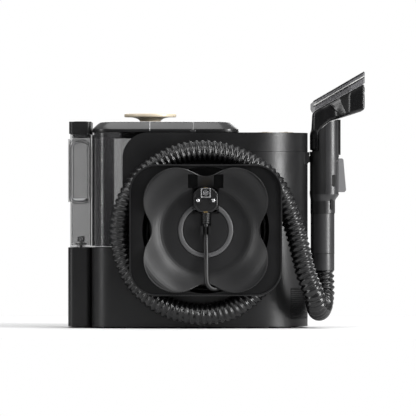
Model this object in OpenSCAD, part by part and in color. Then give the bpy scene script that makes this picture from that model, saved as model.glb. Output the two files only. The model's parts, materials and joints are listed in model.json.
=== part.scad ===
// Portable carpet and upholstery cleaner, docked for storage, in millimetres.
// +X runs to the rear, where the wand is docked; +Y runs away from the cable drum; +Z is up.
// The origin is on the floor, under the centre of the machine's box.

/* [Body] */
// Overall length, from the clean tank to the nozzle's mouth
overall_l = 372; // [371:0.5:374]
// Length of the main body, without nose and wand
body_l = 271.5; // [270:0.5:272]
// Width of the main body, from side face to side face
body_w = 190; // [186:1:194]
// Height of the body's rear top above the floor
body_h = 245; // [245:0.5:245.5]
// Height of the deck that the tanks stand on
deck_z = 101; // [100.5:0.5:101]
// Height of the seam under the rear top cover
band_z = 221; // [220:1:222]
// Thickness of the moulded shells
wall = 3; // [2.5:0.1:3]
// Plan radius of the front corners
front_r = 27; // [24:1:29]
// Plan radius of the rear corners
rear_r = 73; // [70:1:75]
// Length of the nose that carries the clean tank
nose_l = 29.5; // [29:0.5:30]
// Width of the nose and the clean tank
nose_w = 143; // [138:1:146]

/* [Cable drum] */
// Width of the drum's rounded flange
flange_w = 190.5; // [188:0.5:191]
// Height of the drum's rounded flange
flange_h = 164; // [162:1:164]
// Corner radius of the flange
flange_r = 34; // [32:1:36]
// Outer radius of the round core that the hose lies on
core_r = 82; // [82:0.5:83]
// Radius of each lobe of the dish
lobe_r = 41; // [40.5:0.5:41]
// Distance of each lobe's centre from the drum's axis, along X and along Z
lobe_d = 36; // [36:0.5:36.5]

/* [Hose and mains lead] */
// Outer diameter of the ribbed hose
hose_d = 27; // [26:0.5:27]
// Outer diameter of the mains lead
lead_d = 6; // [5.6:0.1:6]

/* [Wand] */
// Width of the grip, along X
grip_w = 37; // [36.5:0.5:37]
// Depth of the grip, along Y
grip_d = 34; // [33:1:36]
// Outer radius of the straight tube under the grip
tube_r = 15; // [14.5:0.5:15]
// Width of the nozzle's mouth
mouth_w = 90; // [84:1:96]
// Height of the nozzle's upper edge above the floor
nozzle_top = 321.5; // [321.5:0.5:322]

/* [Knob] */
// Radius of the lid knob's rim
knob_r = 32.8; // [31:0.2:34]

/* [Hidden] */
$fn = 72;

fit = 0.5;                              // gap between parts that lift apart
big = 500;                              // longer than anything here
nose_x = -overall_l / 2;
front_x = nose_x + nose_l;
rear_x = front_x + body_l;
near_y = -73.5;                         // side face that carries the drum
far_y = near_y + body_w;
mid_y = (near_y + far_y) / 2;
foot_h = 2;
rim_y = -116.5;                         // front of the dish's rim
wing_x = front_x + 39;                  // leading edge of the side panels
wing_r = 32;                            // radius of their top corner
wing_t = 16.5;                          // thickness of each side panel
cover_x = -18;                          // front end of the rear top cover
bay_y0 = near_y + wing_t;
bay_y1 = far_y - wing_t;
bay_x1 = 28.5;
drum_x = -13.5;
drum_z = 122.9;
pan_y = -62;                            // back plate of the winding space
flange_y = -105.5;                      // back face of the flange
flange_t = 2.5;
floor_y = -92;                          // front face of the dish's flat ring
ring_r = 51;
dish_t = 2.5;
dish_r = 92;                            // tips of the lobes
post_r = 58;
port_x = 64.4;
port_z = 65.5;
motor_x = -70;
motor_y = 30;
wand_x = 133.75;
grip_x0 = 117.5;
grip_x1 = grip_x0 + grip_w;
seam_x = 137.5;                         // parting plane of the grip
duct_r = 8;
trigger_z = 209.5;                      // height of the trigger's pivot
trigger_x = 151.8;
lid_z = body_h + 0.6;
lid_h = 13.2;
lid_x1 = 27.5;
knob_x = -83.5;
knob_z = lid_z + lid_h;
plug_z = 160.5;
plug_w = 30.5;
plug_face_y = -102;
lead_x = -13.2;
lead_y = -95.5;

// Layers of the mains lead in the drum: turns of these radii, in rows along Y
lead_pitch = lead_d + 0.2;
coil_layers = 3;
coil_rows = 4;
coil_r = 61.7;
coil_y = -66;

// Centreline of the hose, from the wand's cuff to the port
hose_route = [
    [134.5, 0, 70.8], [135.5, 0, 54], [135.5, -2, 43], [133.5, -12, 30], [131, -27, 24],
    [129, -45, 22.5], [127, -63, 24], [124.5, -78, 31], [121.5, -87, 43], [116.5, -89.5, 56],
    [111.5, -89.5, 69], [105, -89.5, 95], [98.5, -89.5, 121], [91, -89.5, 143],
    [79, -89.5, 171], [62, -89.5, 192], [42, -89.5, 206.5], [16, -89.5, 217.5],
    [-14, -89.5, 222], [-45, -89.5, 218.5], [-72, -89.5, 206.5], [-96, -89.5, 186],
    [-112, -89.5, 160], [-119.5, -89.5, 130], [-118, -89.5, 99], [-108, -89.5, 70],
    [-90, -89.5, 46], [-66, -89.5, 29], [-36, -89.5, 19.5], [-6, -89.5, 18.5],
    [20, -89.5, 25.5], [42, -89.5, 39.5], [54, -89.5, 52]
];
// Centreline of the mains lead, from the plug's strain relief into the winding space
lead_route = [
    [-13.2, -95.5, 130.5], [-13.2, -95.5, 108], [-13, -96.5, 92], [-12.8, -99.5, 77],
    [-12.6, -103.5, 65], [-11.6, -105.5, 56], [-7.5, -105.2, 50.5], [0, -103, 48.7],
    [10, -97.5, 51.2], [22, -92, 57.5], [33, -88, 65.5], [42, -84.6, 74.3]
];

// ---- shared shapes ----

// Rectangle with round corners, centred
module rounded(l, w, r) {
    square([l - 2 * r, w], center = true);
    square([l, w - 2 * r], center = true);
    for (sx = [-1, 1], sy = [-1, 1])
        translate([sx * (l / 2 - r), sy * (w / 2 - r)]) circle(r);
}

// Upright block with round corners between two corners in plan
module block(x0, x1, y0, y1, z0, z1, r) {
    translate([(x0 + x1) / 2, (y0 + y1) / 2, z0])
        linear_extrude(z1 - z0) rounded(x1 - x0, y1 - y0, r);
}

module box(x0, x1, y0, y1, z0, z1) {
    translate([x0, y0, z0]) cube([x1 - x0, y1 - y0, z1 - z0]);
}

// Plan of the main body, drawn in by an inset
module body_plan(inset = 0) {
    rf = front_r - inset;
    rr = rear_r - inset;
    translate([front_x + front_r, near_y + inset])
        square([body_l - front_r - rear_r, body_w - 2 * inset]);
    translate([front_x + inset, near_y + front_r])
        square([rf + 1, body_w - 2 * front_r]);
    translate([rear_x - rear_r - 1, near_y + rear_r])
        square([rr + 1, body_w - 2 * rear_r]);
    for (y = [near_y + front_r, far_y - front_r]) translate([front_x + front_r, y]) circle(rf);
    for (y = [near_y + rear_r, far_y - rear_r])
        translate([rear_x - rear_r, y]) circle(rr, $fn = 144);
}

module body_block(z0, z1, inset = 0) {
    translate([0, 0, z0]) linear_extrude(z1 - z0) body_plan(inset);
}

// Side view of a side panel, from its leading edge back, drawn in by an inset
module wing_side(inset = 0) {
    r = wing_r - inset;
    translate([wing_x + inset, 0]) square([body_l, body_h - wing_r]);
    translate([wing_x + wing_r, 0]) square([body_l, body_h - inset]);
    translate([wing_x + wing_r, body_h - wing_r]) circle(r);
}

// Turns a shape drawn in X and Z, with its third axis running to -Y
module facing(x, y, z) {
    translate([x, y, z]) rotate([90, 0, 0]) children();
}

// Side view given as points in X and Z, between two planes across Y
module slab(points, y0, y1) {
    translate([0, y1, 0]) rotate([90, 0, 0]) linear_extrude(y1 - y0) polygon(points);
}

module pipe(r_out, r_in, h) {
    difference() {
        cylinder(h = h, r = r_out);
        translate([0, 0, -1]) cylinder(h = h + 2, r = r_in);
    }
}

// ---- tube swept along a route ----

function unit(v) = v / norm(v);
function tangents(p) = [
    for (i = [0:len(p) - 1]) unit(p[min(i + 1, len(p) - 1)] - p[max(i - 1, 0)])
];
function normals(t, n, i = 0) = i >= len(t) ? [] :
    let (m = unit(n - (n * t[i]) * t[i])) concat([m], normals(t, m, i + 1));
module sweep(p, d, sides = 12, start_n = [0, 1, 0.01]) {
    t = tangents(p);
    n = normals(t, start_n);
    last = len(p) - 1;
    rings = [
        for (i = [0:last], k = [0:sides - 1])
            p[i] + d / 2 * (cos(360 * k / sides) * n[i]
                + sin(360 * k / sides) * cross(t[i], n[i]))
    ];
    skin = [
        for (i = [0:last - 1], k = [0:sides - 1])
            let (a = i * sides + k, b = i * sides + (k + 1) % sides)
                [a, a + sides, b + sides, b]
    ];
    ends = [
        [for (k = [0:sides - 1]) k],
        [for (k = [0:sides - 1]) last * sides + sides - 1 - k]
    ];
    polyhedron(points = rings, faces = concat(skin, ends), convexity = 10);
}

// ---- body ----

foot_places = [for (x = [-127.4, 79.3], y = [-44, 87]) [x, y]];

module chassis() {
    color("#202022") difference() {
        union() {
            body_block(foot_h, foot_h + wall, wall + 0.3);
            for (p = foot_places) translate([p.x, p.y, foot_h]) cylinder(h = 8, r = 11);
            translate([motor_x, motor_y, foot_h]) pipe(52, 49, 8);
            for (y = [mid_y - 60, mid_y + 60]) box(-17, 20, y, y + 2.5, foot_h, foot_h + 14);
        }
        for (p = foot_places) translate([p.x, p.y, foot_h - 1]) cylinder(h = 7, r = 5);
    }
}

module feet() {
    color("#101010") for (p = foot_places) translate([p.x, p.y, 0]) {
        cylinder(h = foot_h, r = 14);
        cylinder(h = foot_h + 5, r = 4.95);
    }
}

// Hollow shell of both side panels, before it is parted
module shell_skin() {
    difference() {
        union() {
            difference() {
                body_block(foot_h, body_h);
                body_block(foot_h - 1, body_h + 1, wall);
            }
            intersection() {
                body_block(deck_z, body_h);
                facing(0, far_y, 0) linear_extrude(body_w) difference() {
                    wing_side();
                    wing_side(wall);
                }
                union() {
                    box(front_x, rear_x, near_y, bay_y0, deck_z, body_h);
                    box(front_x, rear_x, bay_y1, far_y, deck_z, body_h);
                }
            }
        }
        box(front_x - 1, wing_x, near_y - 1, far_y + 1, deck_z, big);
        difference() {
            box(wing_x - 1, wing_x + wing_r, near_y - 1, far_y + 1, body_h - wing_r, big);
            facing(0, far_y + 2, 0) linear_extrude(body_w + 4) wing_side();
        }
        box(cover_x, big, near_y - 1, far_y + 1, band_z, big);
    }
}

module exhaust_window(depth, gap) {
    box(rear_x - 22 - gap, rear_x, near_y + depth, near_y + 62 + gap, 12 - gap, 50 + gap);
}

module side_shell_near() {
    color("#2b2b2d") difference() {
        shell_skin();
        box(-big, big, mid_y - 0.1, big, -1, big);
        facing(drum_x, near_y + 10, drum_z) cylinder(h = 20, r = core_r + 0.2);
        facing(port_x, near_y + 25, port_z) cylinder(h = 35, r = 12.2);
        exhaust_window(0, 0.2);
    }
}

module side_shell_far() {
    color("#2b2b2d") difference() {
        shell_skin();
        box(-big, big, -big, mid_y + 0.1, -1, big);
    }
}

module rear_top_cover() {
    color("#2f2f31") difference() {
        body_block(band_z + 0.3, body_h);
        body_block(band_z - 1, body_h - wall, wall);
        box(-big, cover_x + 0.3, -big, big, 0, big);
        box(-big, bay_x1 + wall, bay_y0, bay_y1, 0, big);
        for (x = [62, 88]) translate([x, mid_y, body_h - 10]) cylinder(h = 20, r = 9.4);
    }
}

module exhaust_grille() {
    color("#232325") intersection() {
        difference() {
            body_block(12, 50, 0.2);
            body_block(0, 60, 2);
        }
        exhaust_window(0, 0);
    }
}

module nose_base() {
    color("#262628") difference() {
        block(nose_x, front_x - 0.3, mid_y - nose_w / 2, mid_y + nose_w / 2, foot_h, deck_z, 8);
        block(nose_x + wall, front_x - wall, mid_y - nose_w / 2 + wall,
            mid_y + nose_w / 2 - wall, foot_h + wall, deck_z - wall, 5);
        translate([nose_x + 15, mid_y, deck_z - 10]) cylinder(h = 20, r = 7);
    }
}

module tank_bay() {
    color("#242426") difference() {
        union() {
            intersection() {
                body_block(deck_z - 3.5, deck_z, wall + 0.2);
                box(-big, bay_x1 + 2.5, -big, big, 0, big);
            }
            difference() {
                box(wing_x + wall + 0.2, bay_x1 + 2.5, bay_y0 + 0.2, bay_y1 - 0.2,
                    deck_z - 1, body_h - 0.5);
                box(wing_x, bay_x1, bay_y0 + 2.5, bay_y1 - 2.5, deck_z - 2, body_h);
                difference() {
                    box(wing_x, wing_x + wing_r, near_y, far_y, body_h - wing_r, body_h);
                    facing(0, far_y, 0) linear_extrude(body_w) wing_side(wall);
                }
            }
        }
        translate([motor_x, motor_y, deck_z - 10]) cylinder(h = 20, r = 15);
        translate([bay_x1 - 5, -20, 200]) rotate([0, 90, 0]) cylinder(h = 10, r = 12);
        facing(drum_x, pan_y + 3, drum_z) cylinder(h = 40, r = core_r + 1);
    }
}

module outlet_seal() {
    color("#151515") translate([motor_x, motor_y, deck_z - 3.5]) pipe(14.9, 13, 4);
}

module motor_housing() {
    color("#3a3a3c") translate([motor_x, motor_y, foot_h + wall]) difference() {
        cylinder(h = 90, r = 48.5);
        translate([0, 0, 3]) cylinder(h = 84, r = 45.5);
        translate([0, 0, 80]) cylinder(h = 20, r = 14);
        for (a = [0:30:330]) rotate(a) translate([40, 0, 20]) rotate([0, 90, 0])
            cylinder(h = 20, r = 4);
    }
}

module vacuum_motor() {
    color("#8a8a8c") translate([motor_x, motor_y, 12]) {
        cylinder(h = 48, r = 30);
        cylinder(h = 51, r = 12);
    }
}

module motor_mount() {
    color("#1a1a1a") translate([motor_x, motor_y, 30]) pipe(45.3, 30.1, 8);
}

module fan_impeller() {
    color("#b8b8ba") translate([motor_x, motor_y, 68]) {
        pipe(40, 4.05, 2);
        pipe(8, 4.05, 16);
        difference() {
            translate([0, 0, 14]) cylinder(h = 2, r = 40);
            translate([0, 0, 13]) cylinder(h = 5, r = 14);
        }
        for (a = [0:40:320]) rotate(a) translate([15, -1, 1]) rotate(20) cube([24, 1.6, 14]);
    }
}

module fan_shaft() {
    color("#c8c8ca") translate([motor_x, motor_y, 63.6]) cylinder(h = 22, r = 4.05);
}

module water_pump() {
    color("#4a4a4c") {
        block(18, 64, 40, 78, foot_h + wall, 40, 5);
        translate([41, 59, 40]) cylinder(h = 22, r = 14);
        translate([18, 59, 24]) rotate([0, -90, 0]) pipe(5, 3, 14);
    }
}

module suction_duct() {
    color("#353537") difference() {
        union() {
            facing(port_x, -20, port_z) cylinder(h = 49.7, r = 12);
            translate([port_x, -20, port_z]) sphere(12);
            translate([port_x, -20, port_z]) cylinder(h = 134.5, r = 12);
            translate([port_x, -20, 200]) sphere(12);
            translate([bay_x1 + 2.7, -20, 200]) rotate([0, 90, 0])
                cylinder(h = port_x - bay_x1 - 2.7, r = 12);
        }
        facing(port_x, -20, port_z) cylinder(h = 60, r = 9.5);
        translate([port_x, -20, port_z]) sphere(9.5);
        translate([port_x, -20, port_z]) cylinder(h = 134.5, r = 9.5);
        translate([port_x, -20, 200]) sphere(9.5);
        translate([bay_x1, -20, 200]) rotate([0, 90, 0])
            cylinder(h = port_x - bay_x1, r = 9.5);
    }
}

module control_board() {
    color("#1f5c3a") {
        box(40, 41.6, 20, 90, 130, 205);
        box(41.6, 50, 30, 45, 150, 175);
        box(41.6, 47, 55, 80, 140, 152);
        for (y = [26, 84], z = [136, 199])
            translate([bay_x1 + 2.6, y, z]) rotate([0, 90, 0]) cylinder(h = 8.9, r = 3);
    }
}

module push_button(x) {
    color("#c9a46c") translate([x, mid_y, 0]) {
        translate([0, 0, body_h - 6]) cylinder(h = 7.2, r = 9);
        translate([0, 0, body_h - 8]) cylinder(h = 2, r = 11);
    }
}

module power_button() { push_button(62); }

module mode_button() { push_button(88); }

// ---- cable drum ----

module drum_core() {
    color("#1c1c1e") facing(drum_x, 0, drum_z) {
        translate([0, 0, -pan_y - 2]) difference() {
            cylinder(h = pan_y - flange_y + 2, r = core_r);
            translate([0, 0, 2]) cylinder(h = 60, r = core_r - wall);
            for (a = [45:90:315]) rotate(a) translate([50, 0, -1]) cylinder(h = 4, r = 2.2);
        }
    }
}

module drum_flange() {
    color("#1c1c1e") facing(drum_x, flange_y - 0.02, drum_z) difference() {
        linear_extrude(flange_t + 2.5) rounded(flange_w, flange_h, flange_r);
        translate([0, 0, flange_t]) linear_extrude(5)
            rounded(flange_w - 3, flange_h - 3, flange_r - 1.5);
        translate([0, 0, -1]) cylinder(h = 6, r = core_r - wall);
    }
}

// Outline of the four lobes, with a hollow between each two
module clover(grow = 0) {
    fillet_r = 27;
    fillet_d = 94;
    join_x = 14.4;
    join_z = 70.8;
    difference() {
        union() {
            for (sx = [-1, 1], sz = [-1, 1])
                translate([sx * lobe_d, sz * lobe_d]) circle(lobe_r, $fn = 96);
            square([2 * join_x, 2 * join_z], center = true);
            square([2 * join_z, 2 * join_x], center = true);
            square(2 * lobe_d, center = true);
        }
        for (a = [0:90:270]) rotate(a) translate([0, fillet_d]) circle(fillet_r);
    }
}

// Height of the funnel over the flat ring, as a smooth step from ring to lobe tips
function funnel(r) = let (s = (r - ring_r) / (dish_r - ring_r))
    (floor_y - rim_y) * s * s * (3 - 2 * s);
module dish_profile() {
    steps = 14;
    zf = -floor_y;
    front = [for (i = [0:steps]) let (r = ring_r + i * (dish_r - ring_r) / steps)
        [r, zf + funnel(r)]];
    back = [for (i = [steps:-1:1]) let (r = ring_r + i * (dish_r - ring_r) / steps)
        [r, zf + funnel(r) - dish_t]];
    polygon(concat(
        [[0, zf - 5], [0, zf + 0.5], [28, zf + 0.5], [28, zf - 3], [35, zf - 3], [35, zf]],
        front, back, [[54, zf - dish_t], [54, zf - 5]]));
}

module winding_dish() {
    color("#39393b") facing(drum_x, 0, drum_z) {
        difference() {
            intersection() {
                rotate_extrude($fn = 144) dish_profile();
                linear_extrude(200) clover();
            }
            box(-16.5, 16.5, 20.5, 54.5, 80, 130);
            for (s = [-1, 1]) translate([s * 16, 61, 100])
                cube([12, 17, 60], center = true);
            box(-6.2, 6.8, 4, 21, -floor_y - 3, 130);
        }
        for (x = [lead_x - drum_x - 6.6, lead_x - drum_x + 3.4])
            box(x, x + 3.2, -6, 5, -floor_y, -floor_y + 9);
    }
}

module dish_post() {
    color("#202022") facing(drum_x, 0, drum_z) translate([0, 0, -pan_y + 0.02]) {
        pipe(post_r, post_r - 2, -floor_y + pan_y - dish_t - 0.1);
        for (a = [45:90:315]) rotate(a) translate([50, 0, 0]) difference() {
            cylinder(h = 14, r = 6.2);
            translate([0, 0, -1]) cylinder(h = 14, r = 1.8);
        }
    }
}

module drum_screws() {
    color("#9a9a9c") facing(drum_x, 0, drum_z) for (a = [45:90:315]) rotate(a)
        translate([50, 0, 0]) {
            translate([0, 0, -pan_y - 4]) cylinder(h = 2, r = 3.6);
            translate([0, 0, -pan_y - 2]) cylinder(h = 13, r = 1.8);
        }
}

module plug_holder() {
    color("#2a2a2c") facing(drum_x, 0, drum_z) difference() {
        translate([0, 37.5, 82.5]) linear_extrude(12.5) rounded(32.8, 33.8, 6);
        translate([0, 37.7, 84.8]) linear_extrude(20) rounded(31.2, 31.2, 5.4);
        box(-6.2, 6.8, 18, 24, -floor_y - 3, 120);
    }
}

module hose_port() {
    color("#1a1a1c") difference() {
        union() {
            facing(port_x, near_y - 0.1, port_z) cylinder(h = 30.9, r = 14);
            facing(port_x, near_y + 3.5, port_z) cylinder(h = 10, r = 12);
            translate([54, -89.5, 52]) rotate([0, 37.5, 0]) cylinder(h = 17, r = 14.5);
        }
        facing(port_x, near_y + 5, port_z) cylinder(h = 24, r = 9.5);
        translate([54, -89.5, 52]) rotate([0, 37.5, 0]) translate([0, 0, -1])
            cylinder(h = 17, r = 9.5);
    }
}

module dock_bracket() {
    color("#232325") difference() {
        union() {
            facing(0, 22, 0) linear_extrude(44) {
                translate([105, 211]) square([12, band_z - 211.2]);
                translate([111, 211]) circle(6);
            }
            box(114, 120.3, -5, 5, 208, 216);
        }
        body_block(190, 230, -0.02);
    }
}

// ---- clean-water tank ----

clean_y0 = mid_y - nose_w / 2 + 1;
clean_y1 = mid_y + nose_w / 2 - 1;
clean_top = body_h - 1.5;

module clean_tank() {
    color([0.45, 0.45, 0.46, 0.6]) difference() {
        union() {
            block(nose_x + 2.5, front_x - 0.8, clean_y0, clean_y1, deck_z + fit, clean_top, 6);
            block(nose_x, nose_x + 20, clean_y0, clean_y1, 158, 237, 6);
        }
        difference() {
            block(nose_x + 5, front_x - 3.3, clean_y0 + 2.5, clean_y1 - 2.5,
                deck_z + fit + 2.5, clean_top + 1, 4);
            for (y = [clean_y0, clean_y1])
                box(nose_x + 3, nose_x + 26, y - 8.5, y + 8.5, 157, 235);
        }
        for (y = [clean_y0, clean_y1])
            facing(nose_x + 14.25, y + 6, 196) linear_extrude(12) rounded(17.5, 72, 6);
        translate([nose_x + 15, mid_y, deck_z]) cylinder(h = 10, r = 5.5);
    }
}

module clean_tank_cap() {
    color("#1b1b1d") {
        block(nose_x + 1.2, front_x - 0.8, clean_y0, clean_y1, clean_top + 0.3, knob_z, 6);
        difference() {
            block(nose_x + 5.6, front_x - 3.9, clean_y0 + 3.1, clean_y1 - 3.1,
                clean_top - 4, clean_top + 1, 3);
            block(nose_x + 7.6, front_x - 5.9, clean_y0 + 5.1, clean_y1 - 5.1,
                clean_top - 5, clean_top + 0.1, 2);
        }
    }
}

module tank_valve() {
    color("#d8d8d8") translate([nose_x + 15, mid_y, 0]) {
        translate([0, 0, 104.2]) cylinder(h = 2.5, r = 7);
        translate([0, 0, 99.5]) cylinder(h = 10, r = 2);
    }
}

module valve_spring() {
    color("#b0b0b2") translate([nose_x + 15, mid_y, 107.2]) pipe(5, 3.6, 8);
}

// ---- waste-water tank ----

// Plan of the waste tank: wide in front of the side panels, narrow between them
module waste_plan(t) {
    intersection() {
        body_plan(fit + t);
        translate([front_x, near_y]) square([wing_x - front_x - 1 - t, body_w]);
    }
    translate([wing_x - 2 - t, bay_y0 + 5 + t])
        square([bay_x1 - 0.7 - t - (wing_x - 2 - t), bay_y1 - bay_y0 - 10 - 2 * t]);
}

module waste_tank() {
    color([0.42, 0.42, 0.43, 0.6]) difference() {
        translate([0, 0, deck_z + fit + 0.4]) linear_extrude(body_h - deck_z - 1)
            waste_plan(0);
        translate([0, 0, deck_z + fit + 2.9]) linear_extrude(body_h) waste_plan(2.5);
        translate([motor_x, motor_y, deck_z]) cylinder(h = 10, r = 13.1);
        translate([bay_x1 - 8, -20, 200]) rotate([0, 90, 0]) cylinder(h = 10, r = 9.5);
    }
}

module separator_duct() {
    color("#3b3b3d") translate([motor_x, motor_y, deck_z + fit + 0.5])
        pipe(13, 11, 92);
}

module float_cage() {
    color("#57575a") translate([motor_x, motor_y, 194.1]) {
        pipe(16, 11, 2);
        for (a = [0:60:300]) rotate(a + 15) translate([14.4, 0, 1]) cylinder(h = 38, r = 1.3);
        translate([0, 0, 38]) pipe(16.5, 8, 2);
    }
}

module float() {
    color("#d06a28") translate([motor_x, motor_y, 196.6]) {
        cylinder(h = 10, r = 12.5);
        translate([0, 0, 10]) cylinder(h = 6, r1 = 12.5, r2 = 8);
    }
}

module lid_plan(x0, x1, inset) {
    intersection() {
        translate([(front_x + lid_x1) / 2 + 0.5, mid_y])
            rounded(lid_x1 - front_x - 1 - 2 * inset, body_w - 15 - 2 * inset, 24 - inset);
        translate([x0, -big]) square([x1 - x0, 2 * big]);
    }
}

module lid_piece(x0, x1) {
    translate([0, 0, lid_z]) linear_extrude(7) lid_plan(x0, x1, 0);
    translate([0, 0, lid_z + 7]) linear_extrude(lid_h - 7) lid_plan(x0, x1, 5);
}

module lid_front() {
    color("#18181a") difference() {
        lid_piece(front_x - 1, -29.6);
        translate([0, 0, lid_z - 1]) linear_extrude(lid_h - 4) lid_plan(front_x, -32, 8);
        translate([knob_x, mid_y, lid_z]) cylinder(h = 20, r = 4);
    }
}

module lid_rear() {
    color("#18181a") difference() {
        lid_piece(-29.2, lid_x1 + 1);
        translate([0, 0, lid_z - 1]) linear_extrude(lid_h - 4) lid_plan(-27, lid_x1, 8);
    }
}

module lid_seal() {
    color("#0f0f0f") translate([0, 0, body_h - 6]) linear_extrude(6.5) difference() {
        waste_plan(2.9);
        waste_plan(5.5);
    }
}

module lid_knob() {
    neck_r = 13;
    rim_z = 6.8;
    color("#c9a46c") translate([knob_x, mid_y, knob_z + 0.3]) {
        rotate_extrude($fn = 96) polygon(concat(
            [[0, 0], [neck_r, 0]],
            [for (i = [0:8]) let (a = 90 * i / 8)
                [neck_r + (knob_r - neck_r - 2) * (1 - cos(a)), rim_z * sin(a)]],
            [[knob_r, rim_z + 0.8], [knob_r, rim_z + 3.2], [knob_r - 1.5, rim_z + 3.6],
                [0, rim_z + 3.6]]));
        translate([0, 0, -7]) cylinder(h = 8, r = 3.95);
    }
}

// ---- wand ----

// Section of the grip at full width, drawn in by an inset
module grip_plan(inset = 0) {
    translate([(grip_x0 + grip_x1) / 2, 0])
        rounded(grip_w - 2 * inset, grip_d - 2 * inset, 15 - inset);
}

grip_z0 = 144;
grip_z1 = 168;
skin_z = 222;                           // lower end of the nozzle's skin
wand_top = [
    [grip_x0 - 1, grip_z1], [grip_x0 - 1, 240], [128.5, 244.6], [131.5, 249.8],
    [141.7, 258.9], [grip_x1 + 1, 262.8], [grip_x1 + 1, grip_z1]
];

module grip_solid() {
    intersection() {
        translate([0, 0, grip_z1]) linear_extrude(110) grip_plan();
        slab(wand_top, -30, 30);
    }
    block(grip_x0 + 1, 149.5, -15.5, 15.5, grip_z0, grip_z1, 14);
}

module grip_cuts() {
    translate([wand_x, 0, 100]) cylinder(h = 200, r = duct_r);
    difference() {
        box(grip_x0 - 5, 129.4, -30, 30, skin_z - 0.4, big);
        linear_extrude(big) grip_plan(2.9);
    }
    box(grip_x0 - 5, 121, -5.5, 5.5, 172, 217.5);
    box(148.6, big, -6.4, 6.4, 168, 214.5);
    box(142.4, 150, -6.4, 6.4, 178, 202);
    box(151.2, big, -7.4, 7.4, 217, big);
    facing(trigger_x, 12, trigger_z) cylinder(h = 24, r = 1.52);
}

module wand_shell_left() {
    color("#242426") difference() {
        grip_solid();
        box(seam_x - 0.1, big, -big, big, 0, big);
        grip_cuts();
    }
}

module wand_shell_right() {
    color("#2e2e30") difference() {
        grip_solid();
        box(-big, seam_x + 0.1, -big, big, 0, big);
        grip_cuts();
    }
}

module wand_tube() {
    color("#2c2c2e") translate([wand_x, 0, 93.7]) pipe(tube_r, 12, 50.1);
}

module hose_cuff() {
    color("#2c2c2e") translate([wand_x + 0.4, 0, 71.8]) difference() {
        cylinder(h = 21.7, r = 14.5);
        translate([-0.4, 0, 6]) cylinder(h = 20, r = 10);
        translate([0, 0, -1]) cylinder(h = 12, r = 10);
    }
}

module trigger() {
    color("#97979a") difference() {
        union() {
            slab([[153.9, 213], [158.5, 213], [160, 211.5], [163.4, 173], [161.5, 170.5],
                [153.9, 170.5]], -6, 6);
            facing(trigger_x, 3, trigger_z) cylinder(h = 6, r = 2.7);
            box(trigger_x, 155, -3, 3, trigger_z - 2.7, trigger_z + 2.7);
        }
        facing(trigger_x, 12, trigger_z) cylinder(h = 24, r = 1.56);
    }
}

module trigger_pin() {
    color("#c8c8ca") facing(trigger_x, 9, trigger_z) cylinder(h = 18, r = 1.5);
}

module trigger_spring() {
    color("#c8c8ca") facing(trigger_x, -3.2, trigger_z) pipe(2, 1.55, 2.8);
}

module spray_valve() {
    color("#dcdcdc") box(142.7, 148.6, -6, 6, 178.4, 201.6);
}

module nozzle_latch() {
    color("#1a1a1c") box(153.4, 156.4, -7, 7, 217.4, 261.8);
}

// ---- nozzle ----

under_line = [[128.9, 245.5], [131.9, 250.5], [141.9, 259.5], [156.9, 264], [186, 273.5]];
top_line = [[186, 307], [127.9, 275.5], [120.9, 270.5]];

module nozzle_plan(inset = 0) {
    half = mouth_w / 2 - inset;
    polygon(concat(
        [[118.6 + inset, -10 + inset], [122, -16 + inset], [133, -19 + inset],
            [150, -26 + inset], [168, -half + 3], [186, -half]],
        [[186, half], [168, half - 3], [150, 26 - inset], [133, 19 - inset],
            [122, 16 - inset], [118.6 + inset, 10 - inset]]));
}

module nozzle_body() {
    color("#101012") {
        difference() {
            intersection() {
                linear_extrude(big) nozzle_plan();
                slab(concat([[119.4, 245.5]], under_line, top_line), -60, 60);
            }
            translate([wand_x, 0, 200]) cylinder(h = 200, r = duct_r);
            box(183.2, 190, -41, 41, 296, 302);
            translate([181, 0, 286]) rotate([0, 90, 0]) cylinder(h = 10, r = 5.02);
        }
        difference() {
            intersection() {
                translate([0, 0, skin_z]) linear_extrude(24) grip_plan(0.2);
                box(grip_x0, 129, -30, 30, 0, big);
            }
            translate([0, 0, skin_z - 1]) linear_extrude(30) grip_plan(2.5);
        }
    }
}

module nozzle_cover() {
    color([0.75, 0.77, 0.8, 0.35]) difference() {
        intersection() {
            linear_extrude(big) nozzle_plan();
            slab([[116, 279], [123.9, 286.5], [184.4, nozzle_top], [186, nozzle_top - 1],
                [186, 307.1], [127.9, 275.6], [120.9, 270.6]], -60, 60);
        }
        intersection() {
            translate([0, 0, 1]) linear_extrude(big) union() {
                nozzle_plan(2.5);
                translate([170, -mouth_w / 2 + 3]) square([30, mouth_w - 6]);
            }
            slab([[124, 273.4], [127, 285.8], [190, 322.2], [190, 309.1]], -60, 60);
        }
    }
}

module mouth_strip() {
    color("#3c3c3e") box(183.3, 186, -40.9, 40.9, 296.1, 301.9);
}

module spray_tip() {
    color("#c8a068") translate([181.1, 0, 286]) rotate([0, 90, 0]) difference() {
        cylinder(h = 4.9, r = 5);
        translate([0, 0, 2]) cylinder(h = 4, r = 1.5);
    }
}

// ---- hose and mains lead ----

module suction_hose() {
    color("#161618") sweep(hose_route, hose_d);
}

module mains_lead() {
    color("#141416") sweep(lead_route, lead_d, 8, [1, 0, 0.01]);
}

module lead_coil() {
    color("#141416") facing(drum_x, 0, drum_z) rotate_extrude($fn = 96)
        translate([coil_r - lead_d / 2, -coil_y - lead_d / 2])
            square([(coil_layers - 1) * lead_pitch + lead_d,
                (coil_rows - 1) * lead_pitch + lead_d]);
}

module lead_gland() {
    outer_r = coil_r + (coil_layers - 1) * lead_pitch;
    chord = 22;
    color("#101012") facing(drum_x, 0, drum_z) rotate(150)
        translate([outer_r, 0, -coil_y]) {
            rotate(-asin(chord / 2 / outer_r)) rotate([90, 0, 0])
                cylinder(h = chord, r1 = 4, r2 = 3.3);
            translate([-5, 0, -3.9]) cube([9.9, 8, 7.9]);
        }
}

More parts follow.
